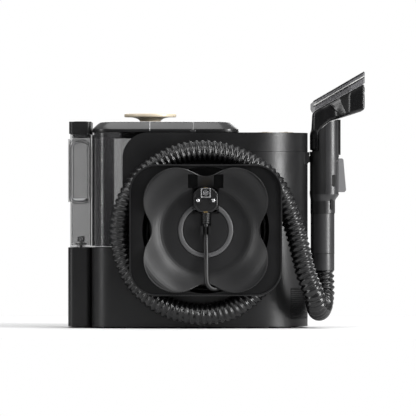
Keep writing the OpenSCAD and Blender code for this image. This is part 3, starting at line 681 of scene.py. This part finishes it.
def lid_trim():
    """Raised lip round the lid's foot, catch where its halves meet, and the line under the knob's mark."""
    levels = []
    for z, out in ((0.2, 0.0), (0.2, 0.7), (1.6, 0.7), (1.8, 0.0)):
        levels.append((lid_z0 + z * mm, rounded_rect(
            lid_x0 - out * mm * 0.5, lid_x1 + out * mm * 0.5, lid_y0 - out * mm, lid_y1 + out * mm,
            24 * mm, 12)))
    mesh_of("lid_lip", *lofted(levels, upright, loop=True), "frame_black", "waste_lid")
    block = [(lid_y0 + y * mm, rounded_rect(split_x - w * mm, split_x + w * mm, lid_z0 - 0.1 * mm,
                                            lid_z0 + h * mm, 0.8 * mm, 3))
             for y, w, h in ((-0.9, 3.2, 2.4), (-0.4, 3.8, 3.0), (3.0, 3.8, 3.0))]
    mesh_of("lid_catch", *lofted(block, toward_front), "wand_grey", "waste_lid")
    low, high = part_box("lid_knob")
    x = (low.x + high.x) / 2
    line = [Vector((x, lid_y0 + y * mm, lid_z0 + z * mm))
            for y, z in ((0.05, 1.6), (0.0, 3.4), (0.55, 4.5), (4.5, 8.1), (8.4, 11.7), (9.7, 12.5),
                         (11.2, 13.0))]
    mesh_of("lid_mark", *swept(line, lambda s, a: 0.4 * mm, 8), "clear_edge", "waste_lid")


def knob():
    """Champagne knob: flared neck, rolled rim, dished top with a groove, and its bright mark."""
    low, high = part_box("lid_knob")
    cx, cy = (low.x + high.x) / 2, (low.y + high.y) / 2
    z0 = 259.1
    flare = [(13.0 + (32.0 - 13.0) * (1 - math.cos(a)) * 0.93, z0 + 6.3 * math.sin(a) ** 0.85)
             for a in (math.pi / 2 * i / 14 for i in range(15))]
    rim = [(32.0, 265.2), (32.6, 265.8), (32.8, 266.8), (32.8, 268.3), (32.5, 269.1), (31.8, 269.5)]
    top = [(29.5, 269.45), (28.6, 269.0), (27.9, 268.4), (21, 267.7), (12, 267.4), (11.6, 267.0),
           (10.8, 267.0), (10.4, 267.4), (0, 267.3)]
    profile = [(0, z0), (12.6, z0)] + flare + rim + top
    body = mesh_of("knob", *turned([(r * mm, z * mm) for r, z in profile], (cx, cy, 0), "Z", 128),
                   "champagne", "lid_knob", smooth=30)
    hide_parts("lid_knob")
    mark = [(-32.3, 269.2), (-32.85, 268.4), (-32.85, 266.6), (-31.9, 265.3), (-26, 264.75)]
    verts, faces = [], []
    for y, z in mark:
        verts += [(cx - 0.3 * mm, cy + y * mm, z * mm), (cx + 0.3 * mm, cy + y * mm, z * mm)]
    for y, z in mark:
        verts += [(cx - 0.3 * mm, cy + (y + 0.5) * mm, z * mm), (cx + 0.3 * mm, cy + (y + 0.5) * mm, z * mm)]
    n = 2 * len(mark)
    for i in range(0, n - 2, 2):
        faces += [(i, i + 1, i + 3, i + 2), (n + i, n + i + 2, n + i + 3, n + i + 1),
                  (i, i + 2, n + i + 2, n + i), (i + 1, n + i + 1, n + i + 3, i + 3)]
    faces += [(0, n, n + 1, 1), (n - 2, n - 1, 2 * n - 1, 2 * n - 2)]
    mesh_of("knob_mark", verts, faces, "white_plastic", "lid_knob", smooth=0)


lid_shape("lid_front_shell", "lid_front", lid_x0, split_x - 0.2 * mm, True, False)
lid_shape("lid_rear_shell", "lid_rear", split_x + 0.2 * mm, lid_x1, False, True)
lid_trim()
knob()


def tank_emboss():
    """Raised frame and thumb ledge round each side recess of the clean tank, the frame's dark lines painted
    shade and the ledges' whitish colour a painted highlight; dark seams in its walls.
    """
    low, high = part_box("clean_tank")
    lines, ledges = [], []
    for face, out in ((low.y, -1), (high.y, 1)):
        for x0, x1, z0, z1, r in ((-184.6, -159.4, 156.2, 236.0, 9), (-182.2, -161.6, 158.6, 233.6, 7.5)):
            outline = rounded_rect(x0 * mm, x1 * mm, z0 * mm, z1 * mm, r * mm, 10)
            path = [Vector((u, face + out * 0.05 * mm, v)) for u, v in outline]
            lines.append(swept(path + [path[0], path[1]], lambda s, a: 0.42 * mm, 8))
        ledge = [(face + out * y * mm, rounded_rect(-180.6 * mm, -163.4 * mm, (160.4 - h) * mm,
                                                    (160.8 + h) * mm, 0.4 * mm, 3))
                 for y, h in ((-5.6, 1.6), (-2.6, 1.1), (-0.2, 0.5))]
        ledges.append(lofted(ledge, toward_front))
    mesh_of("tank_emboss", *joined(*lines), "tank_line", "clean_tank")
    mesh_of("tank_ledges", *joined(*ledges), "clear_edge", "clean_tank")
    middle = (low.y + high.y) / 2
    seams = [lofted([(z * mm, rounded_rect(x0 * mm, x1 * mm, middle - 2 * mm, middle + 2 * mm, 0.3 * mm, 3))
                     for z in (z0, z1)], upright)
             for x0, x1, z0, z1 in ((-185.3, -184.3, 159, 236), (-182.9, -182.0, 103, 156.5),
                                    (-159.2, -158.2, 103, 242.5))]
    mesh_of("tank_seams", *joined(*seams), "frame_black", "clean_tank")


def vent_panel():
    """Perforated outlet panel on the rear corner: a grid of blind eight-sided holes."""
    centre = Vector((42 * mm, -0.5 * mm, 0))
    radius, back, floor_r = 73.0 * mm, 71.1 * mm, 71.5 * mm     # face, back and hole bottoms
    columns, rows = 20, 15
    a0, a1 = math.radians(44.6), math.radians(84.6)
    z0, z1 = 12.4 * mm, 49.6 * mm
    da, dz = (a1 - a0) / columns, (z1 - z0) / rows

    def spot(a, z, r):
        return centre + Vector((r * math.sin(a), -r * math.cos(a), z))

    verts, faces = [], []
    for r in (radius, back):
        for j in range(rows + 1):
            verts += [spot(a0 + da * i, z0 + dz * j, r) for i in range(columns + 1)]
    per = columns + 1
    layer = per * (rows + 1)
    hole = 0.86 * mm
    for j in range(rows):
        for i in range(columns):
            corners = [j * per + i, j * per + i + 1, (j + 1) * per + i + 1, (j + 1) * per + i]
            ca, cz = a0 + da * (i + 0.5), z0 + dz * (j + 0.5)
            first = len(verts)
            for depth in (radius, floor_r):
                for k in range(8):
                    t = math.radians(-112.5 + 45 * k)
                    verts.append(spot(ca + hole * math.cos(t) / radius, cz + hole * math.sin(t), depth))
            for k in range(4):
                n = (k + 1) % 4
                h0, h1, h2 = first + 2 * k, first + 2 * k + 1, first + (2 * k + 2) % 8
                faces += [(corners[k], corners[n], h1, h0), (corners[n], h2, h1)]
            for k in range(8):
                n = (k + 1) % 8
                faces.append((first + k, first + n, first + 8 + n, first + 8 + k))
            faces.append(tuple(first + 8 + k for k in range(8)))
            faces.append(tuple(layer + c for c in reversed(corners)))
    for i in range(columns):
        faces += [(i, i + 1, layer + i + 1, layer + i),
                  (rows * per + i, rows * per + i + 1, layer + rows * per + i + 1, layer + rows * per + i)]
    for j in range(rows):
        for i in (0, columns):
            faces.append((j * per + i, (j + 1) * per + i, layer + (j + 1) * per + i, layer + j * per + i))
    panel = mesh_of("vent_panel", verts, faces, "shell_black", "root", smooth=20)
    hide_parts("exhaust_grille")


def wand_details():
    """Joint rings, the grip's lower taper, and the two oval grip pads on each side."""
    low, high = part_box("wand_tube")
    cx = (low.x + high.x) / 2
    rings = []
    for z, r in ((143.9, 15.15), (93.6, 15.1)):
        profile = ((0, -0.7), (r - 0.3, -0.7), (r, -0.4), (r, 0.4), (r - 0.3, 0.7), (0, 0.7))
        rings.append(turned([(rr * mm, (z + h) * mm) for rr, h in profile], (cx, 0, 0), "Z", 64))
    mesh_of("wand_rings", *joined(*rings), "rubber_black", "wand")
    levels = []
    for k in range(7):
        t = k / 6
        ease = t * t * (3 - 2 * t)
        levels.append(((159.0 + 9.3 * t) * mm, rounded_rect(
            (118.6 - 1.0 * ease) * mm, (149.4 + 5.0 * ease) * mm, (-15.6 - 1.3 * ease) * mm,
            (15.6 + 1.3 * ease) * mm, (14 + 0.9 * ease) * mm, 10)))
    mesh_of("grip_taper", *lofted(levels, upright), "wand_grey", "wand", smooth=40)
    pads = []
    for z0, z1, depth in ((177.5, 192.5, 15.2), (148.5, 161.0, 13.4)):
        x0, x1 = (145.6, 150.4) if z0 > 170 else (143.4, 147.6)
        for side in (-1, 1):
            slab = [(side * d * mm, rounded_rect(x0 * mm + e * mm, x1 * mm - e * mm, z0 * mm + e * mm,
                                                 z1 * mm - e * mm, 2.0 * mm - e * mm, 6))
                    for d, e in ((depth - 5, 0), (depth + 0.55, 0), (depth + 0.9, 0.4))]
            pads.append(lofted(slab, toward_front))
    mesh_of("grip_pads", *joined(*pads), "rubber_black", "wand")


def nozzle_skin():
    """The nozzle body with its facets blended, as gloss mouldings have."""
    source = nodes["nozzle_body"]
    skin = bpy.data.objects.new("nozzle_skin", source.data.copy())
    scene.collection.objects.link(skin)
    voxels = skin.modifiers.new("voxels", "REMESH")
    voxels.mode = "VOXEL"
    voxels.voxel_size = 0.9 * mm
    ease = skin.modifiers.new("ease", "SMOOTH")
    ease.factor = 0.7
    ease.iterations = 48
    bpy.context.view_layer.update()
    made = bpy.data.meshes.new_from_object(skin.evaluated_get(bpy.context.evaluated_depsgraph_get()))
    skin.modifiers.clear()
    skin.data = made
    placed(skin, "gloss_black", "nozzle", smooth=60)
    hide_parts("nozzle_body")
    return skin


def nozzle_facets(skin):
    """A fan-shaped ridge on each side of the nozzle: a steep lower face and a broad upper one."""
    section = ((0.0, -0.5), (0.13, 0.95), (0.38, 0.8), (0.68, 0.55), (1.0, -0.4))
    bottom, top = ((156.6, 265.6), (164.8, 268.6)), ((140.0, 280.2), (156.0, 289.8))
    verts, faces, steps = [], [], 10
    for side in (-1, 1):
        first = len(verts)
        for i in range(steps + 1):
            t = i / steps
            (xa, za), (xb, zb) = (tuple(p + (q - p) * t for p, q in zip(low, high))
                                  for low, high in zip(bottom, top))
            swell = math.sin(math.pi * (0.12 + 0.8 * t)) ** 0.5
            for u, proud in section:
                x, z = (xa + (xb - xa) * u) * mm, (za + (zb - za) * u) * mm
                hit, spot, _, _ = skin.ray_cast(Vector((x, side * 0.2, z)), Vector((0, -side, 0)))
                y = spot.y if hit else side * 20 * mm
                verts.append(Vector((x, y + side * proud * swell * mm, z)))
        count = len(section)
        for i in range(steps):
            for k in range(count):
                a, b, n = first + count * i, first + count * (i + 1), (k + 1) % count
                faces.append((a + k, a + n, b + n, b + k))
        faces += [tuple(first + k for k in range(count)),
                  tuple(first + count * steps + k for k in reversed(range(count)))]
    mesh_of("nozzle_facets", verts, faces, "gloss_black", "nozzle", smooth=20)


def cover_lines():
    """Lines along the clear cover: a dark rod along the top edge and one in the groove are painted shade, and
    the white bead between them is a painted highlight.
    """
    plan = [(122.5, 16.4), (133, 19.1), (150, 26.1), (168, 42.1), (185.3, 45.1)]
    for name, drop, thick, slot_name in (("cover_edge_shade", 1.0, 0.85, "gloss_black"),
                                         ("cover_bead_highlight", 6.0, 0.55, "white_plastic"),
                                         ("cover_groove_shade", 7.7, 0.5, "gloss_black")):
        parts = []
        for side in (-1, 1):
            path = []
            for (x0, y0), (x1, y1) in zip(plan, plan[1:]):
                path += [(x0 + (x1 - x0) * k / 6, y0 + (y1 - y0) * k / 6) for k in range(6)]
            path.append(plan[-1])
            line = [Vector((x, side * (y - 0.25), 286.5 + (x - 123.9) * 0.5785 - drop)) * mm for x, y in path]
            parts.append(swept(line, lambda s, a, t=thick: t * mm, 8))
        mesh_of(name, *joined(*parts), slot_name, "nozzle")


def button_trims():
    """A thin champagne ring round each button, and plain raised marks on them."""
    rings = []
    for node in ("power_button", "mode_button"):
        low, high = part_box(node)
        cx, cy = (low.x + high.x) / 2, (low.y + high.y) / 2
        path = [Vector((cx + 9.9 * mm * math.cos(a), cy + 9.9 * mm * math.sin(a), 245.0 * mm))
                for a in (2 * math.pi * i / 72 for i in range(74))]
        rings.append(swept(path, lambda s, a: 0.6 * mm, 10))
    mesh_of("button_rings", *joined(*rings), "champagne", "root")
    low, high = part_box("power_button")
    cx, cy, z = (low.x + high.x) / 2, (low.y + high.y) / 2, high.z
    arc = [Vector((cx + 4 * mm * math.sin(a), cy + 4 * mm * math.cos(a), z))
           for a in (math.radians(40 + 280 * i / 40) for i in range(41))]
    bar = [Vector((cx, cy + y * mm, z)) for y in (1.6, 3, 4.4, 5.6)]
    mesh_of("power_mark", *joined(swept(arc, lambda s, a: 0.4 * mm, 8), swept(bar, lambda s, a: 0.4 * mm, 8)),
            "rubber_black", "power_button")
    low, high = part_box("mode_button")
    cx, cy, z = (low.x + high.x) / 2, (low.y + high.y) / 2, high.z
    drop = []
    for i in range(50):
        a = 2 * math.pi * i / 48
        drop.append(Vector((cx + 3.2 * mm * math.sin(a) * abs(math.sin(a / 2)) ** 1.5,
                            cy + 4.4 * mm * math.cos(a), z)))
    mesh_of("mode_mark", *swept(drop, lambda s, a: 0.4 * mm, 8), "rubber_black", "mode_button")


def waste_front_shade():
    """Dark sheet round the inside of the waste tank's front and its rounded corners, seen through the smoky
    wall: painted shade where the curved wall looks dark.
    """
    low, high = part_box("waste_tank")
    x0, x1 = low.x + 3.6 * mm, -141 * mm
    y0, y1 = low.y + 3.4 * mm, high.y - 3.4 * mm
    outer, inner = [], []
    for r, out in ((22, outer), (20.8, inner)):
        for cx, cy, a0 in ((x0 + 22 * mm, y1 - 22 * mm, 90), (x0 + 22 * mm, y0 + 22 * mm, 180)):
            if a0 == 90:
                out.append((x1, cy + r * mm))
            for k in range(13):
                a = math.radians(a0 + 90 * k / 12)
                out.append((cx + r * mm * math.cos(a), cy + r * mm * math.sin(a)))
            if a0 == 180:
                out.append((x1, cy - r * mm))
    outline = outer + inner[::-1]
    levels = [(z * mm, outline) for z in (102.4, 120, 180, 241.5)]
    mesh_of("waste_front_shade", *lofted(levels, upright), "liner_smoke", "waste_tank", smooth=40)


def cap_details():
    """Finger scoop rims and a filling flap line on the clean tank's cap, and its grip ribs in front."""
    low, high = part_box("clean_tank_cap")
    parts = []
    for inset in (0, 2.2):
        half = (49.5 - inset) * mm
        outline = rounded_rect(low.x + (5.5 + inset) * mm, high.x - (4.5 + inset) * mm, machine_mid - half,
                               machine_mid + half, (6 - inset) * mm, 8)
        path = [Vector((u, v, high.z + 0.02 * mm)) for u, v in outline]
        parts.append(swept(path + [path[0], path[1]], lambda s, a: 0.55 * mm, 8))
    for k in range(9):
        y = machine_mid + (k - 4) * 4.2 * mm
        rib = [Vector((low.x + x * mm, y, z * mm))
               for x, z in ((0.05, 247.5), (0.0, 249), (0.0, 252.5), (0.05, 254.5))]
        parts.append(swept(rib, lambda s, a: 0.6 * mm, 8))
    mesh_of("cap_details", *joined(*parts), "shell_black", "clean_tank_cap")


def level_marks():
    """Plain raised level lines on the clean tank's front wall."""
    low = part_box("clean_tank")[0]
    front = []
    for k in range(7):
        z = (172 + 9 * k) * mm
        half = 9 * mm if k % 3 == 0 else 5 * mm
        line = [Vector((low.x + 0.05 * mm, machine_mid + y, z)) for y in (-half, -half / 2, half / 2, half)]
        front.append(swept(line, lambda s, a: 0.4 * mm, 8))
    mesh_of("level_marks", *joined(*front), "white_plastic", "clean_tank")


def underside():
    """Screws in their wells under the chassis."""
    well = [(0, 1.95), (3.4, 1.95), (3.4, 1.2), (4.4, 1.2), (4.8, 1.6), (4.8, 2.1), (0, 2.1)]
    head = [(0, 1.1), (1.6, 1.15), (2.6, 1.5), (2.9, 2.0), (0, 2.0)]
    screws, wells = [], []
    for x, y in ((-135, -20), (-135, 63), (95, -20), (95, 63), (-20, -60), (-20, 103)):
        spot = (x * mm, y * mm, 0)
        wells.append(turned([(r * mm, z * mm) for r, z in well], spot, "Z", 32))
        screws.append(turned([(r * mm, z * mm) for r, z in head], spot, "Z", 24))
    mesh_of("screw_wells", *joined(*wells), "frame_black", "root")
    mesh_of("base_screws", *joined(*screws), "steel", "root")


def tank_spring():
    """Wire spring above the clean tank's valve."""
    low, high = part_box("valve_spring")
    cx, cy = (low.x + high.x) / 2, (low.y + high.y) / 2
    turns, steps, wire = 5, 24, 0.55 * mm
    coil = []
    for i in range(turns * steps + 1):
        a = 2 * math.pi * i / steps
        z = low.z + 1.1 * wire + (high.z - low.z - 2.2 * wire) * i / (turns * steps)
        coil.append(Vector((cx + 4.3 * mm * math.cos(a), cy + 4.3 * mm * math.sin(a), z)))
    spring = mesh_of("tank_spring", *swept(coil, lambda s, a: wire, 8), "steel", None)
    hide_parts("valve_spring")
    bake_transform(spring)


def tank_bumper():
    """Rubber strip moulded into the waste tank's front wall, which keeps the clean tank off it."""
    low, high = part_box("waste_tank")
    middle = (low.y + high.y) / 2
    levels = [(z * mm, rounded_rect(low.x - (0.9 - inset) * mm, low.x + 2.3 * mm, middle - (5 - inset) * mm,
                                    middle + (5 - inset) * mm, 0.6 * mm, 4))
              for z, inset in ((102.8, 0.5), (103.4, 0), (242.2, 0), (242.8, 0.5))]
    mesh_of("tank_bumper", *lofted(levels, upright), "rubber_black", "waste_tank")


tank_spring()
tank_bumper()
tank_emboss()
cap_details()
level_marks()
underside()
waste_front_shade()
vent_panel()
wand_details()
nozzle_facets(nozzle_skin())
cover_lines()
button_trims()

# ---------------------------------------------------------------- CAD parts that stay

# Width of the rounding on each node's sharp edges, in mm
edge_width = {
    "side_shell_near": 1.2, "side_shell_far": 1.2, "rear_top_cover": 1.2, "nose_base": 1.0,
    "drum_flange": 0.8, "drum_core": 0.5, "winding_dish": 0.4, "dish_post": 0.5, "plug_holder": 0.6,
    "clean_tank": 0.7, "clean_tank_cap": 1.2, "waste_tank": 0.7,
    "nozzle_body": 0.8, "nozzle_cover": 0.7, "wand_shell_left": 0.6, "wand_shell_right": 0.6,
    "wand_tube": 0.8, "hose_cuff": 0.9, "trigger": 1.0, "dock_bracket": 0.6, "feet": 0.8,
}
# Nodes whose looks need another material than their slot's own
finer = {"clean_tank_cap": "shell_black", "nozzle_cover": "cover_clear"}
for part in frame["record"]["subparts"]:
    node = nodes[part["node"]]
    node.data.materials.clear()
    node.data.materials.append(MATS[finer.get(part["node"], part["material_slot"])])
    if not node.hide_render:
        soften(node, edge_width.get(part["node"], 0.3) * mm)

# ---------------------------------------------------------------- floor

floor_mesh = bpy.data.meshes.new("floor")
floor_mesh.from_pydata([(-0.9, -0.7, 0), (0.9, -0.7, 0), (0.9, 0.8, 0), (-0.9, 0.8, 0)], [], [(0, 1, 2, 3)])
floor = bpy.data.objects.new("floor", floor_mesh)
scene.collection.objects.link(floor)
floor_mesh.materials.append(moulded("floor_paper", (0.72, 0.72, 0.72), 0.95, depth=0.02, spread=0.01,
                                    Specular_IOR_Level=0.0))
